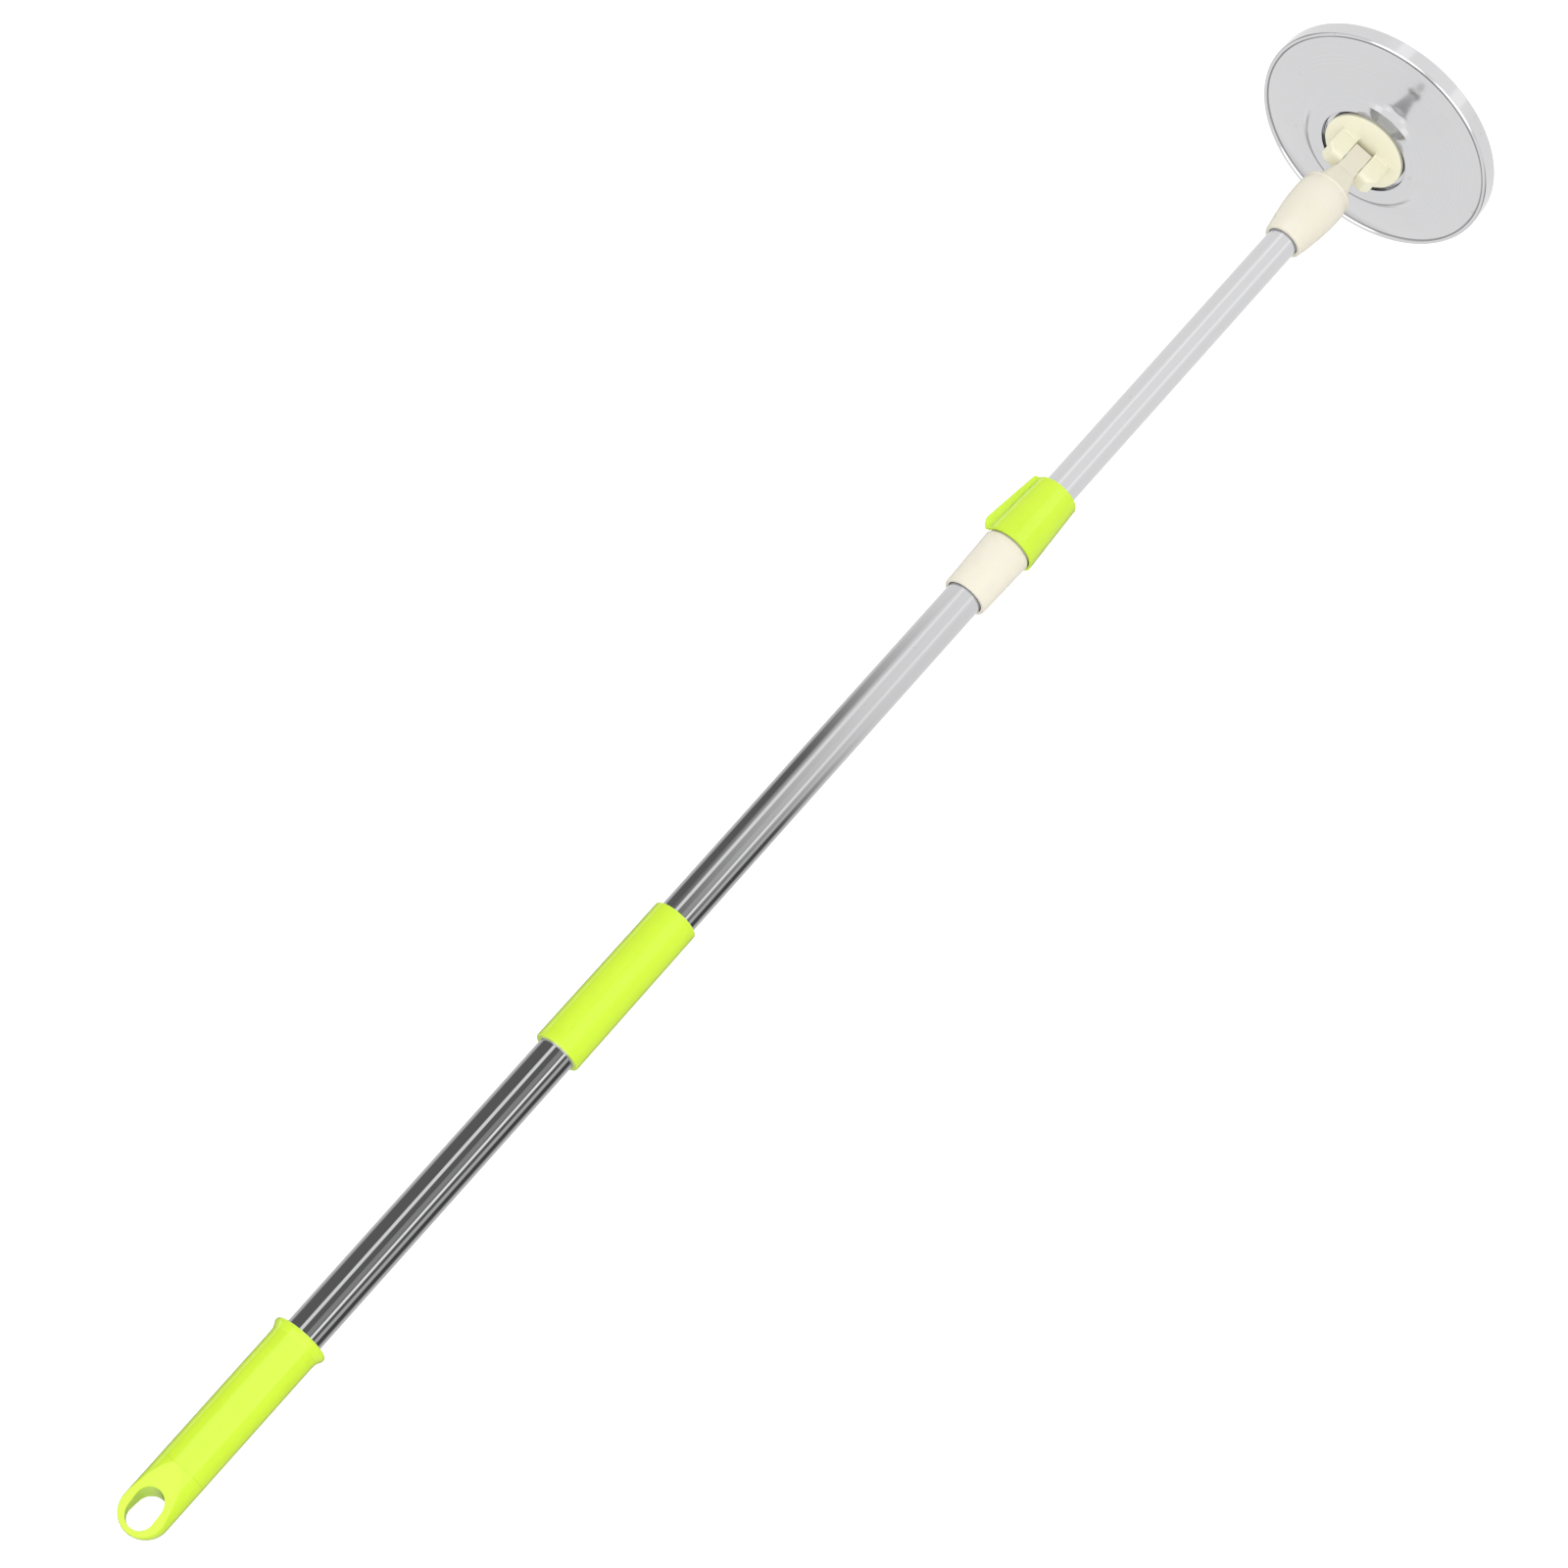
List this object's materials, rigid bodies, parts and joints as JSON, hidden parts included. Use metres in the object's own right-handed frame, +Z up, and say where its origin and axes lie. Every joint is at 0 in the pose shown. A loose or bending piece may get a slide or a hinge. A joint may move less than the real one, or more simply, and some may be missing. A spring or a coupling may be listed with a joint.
{
  "type": "telescopic mop handle",
  "caption": "Telescopic steel pole with plastic grips, a flip-lever length lock and a round polished head on a tilting, spinning joint.",
  "frame": {"origin": "the point in the top of the end cap's slot where a hook bears, on the pole's centre line", "axes": "+Z up the pole, from the head to the end grip; +Y along the head's tilt pin; +X to the side that the middle of the closed lever faces"},
  "size_m": [0.1571, 0.1572, 1.1393],
  "materials": {
    "lime_plastic": "smooth satin-gloss moulding",
    "cream_plastic": "smooth satin moulding",
    "grey_plastic": "plain moulding",
    "white_plastic": "plain moulding",
    "tube_steel": "polished tube, faint lengthwise lines",
    "disc_steel": "polished pressed sheet",
    "pin_steel": "plain bright"
  },
  "bodies": {
    "pole": {"hang_cap": "lime_plastic", "end_grip": "lime_plastic", "tube_upper": "tube_steel", "mid_sleeve": "lime_plastic", "joiner_plug": "grey_plastic", "joiner_socket": "grey_plastic", "tube_lower": "tube_steel", "lock_collar": "cream_plastic", "lever_pin": "pin_steel"},
    "lever": {"lock_lever": "lime_plastic"},
    "shoe": {"brake_shoe": "grey_plastic"},
    "inner": {"inner_tube": "tube_steel", "guide_plug": "grey_plastic", "neck_socket": "cream_plastic"},
    "hub": {"hub": "cream_plastic", "pivot_pin": "pin_steel", "hub_screw": "pin_steel", "hub_washer": "pin_steel"},
    "disc": {"disc_cover": "disc_steel", "disc_plate": "white_plastic", "bearing_bush": "grey_plastic"}
  },
  "joints": [
    {"name": "telescope", "type": "slide", "parent": "pole", "child": "inner", "axis": [0, 0, 1], "range_m": [-0.045, 0.22]},
    {"name": "lock_lever_hinge", "type": "hinge", "parent": "pole", "child": "lever", "pos_m": [-0.0086, -0.01229, -0.7707], "axis": [0, 0, -1], "range_deg": [0, 110]},
    {"name": "brake_shoe_slide", "type": "slide", "parent": "pole", "child": "shoe", "axis": [-0.5736, -0.8192, 0], "range_m": [0, 0.0005]},
    {"name": "head_tilt", "type": "hinge", "parent": "inner", "child": "hub", "pos_m": [0, 0, -1.0928], "axis": [0, 1, 0], "range_deg": [-75, 62]},
    {"name": "disc_spin", "type": "hinge", "parent": "hub", "child": "disc", "pos_m": [-0.00143, 0, -1.10441], "axis": [0.1219, 0, 0.9925], "continuous": true}
  ],
  "couplings": [
    {"joint": "brake_shoe_slide", "follows": "lock_lever_hinge", "m_per_rad": 0.00026}
  ]
}
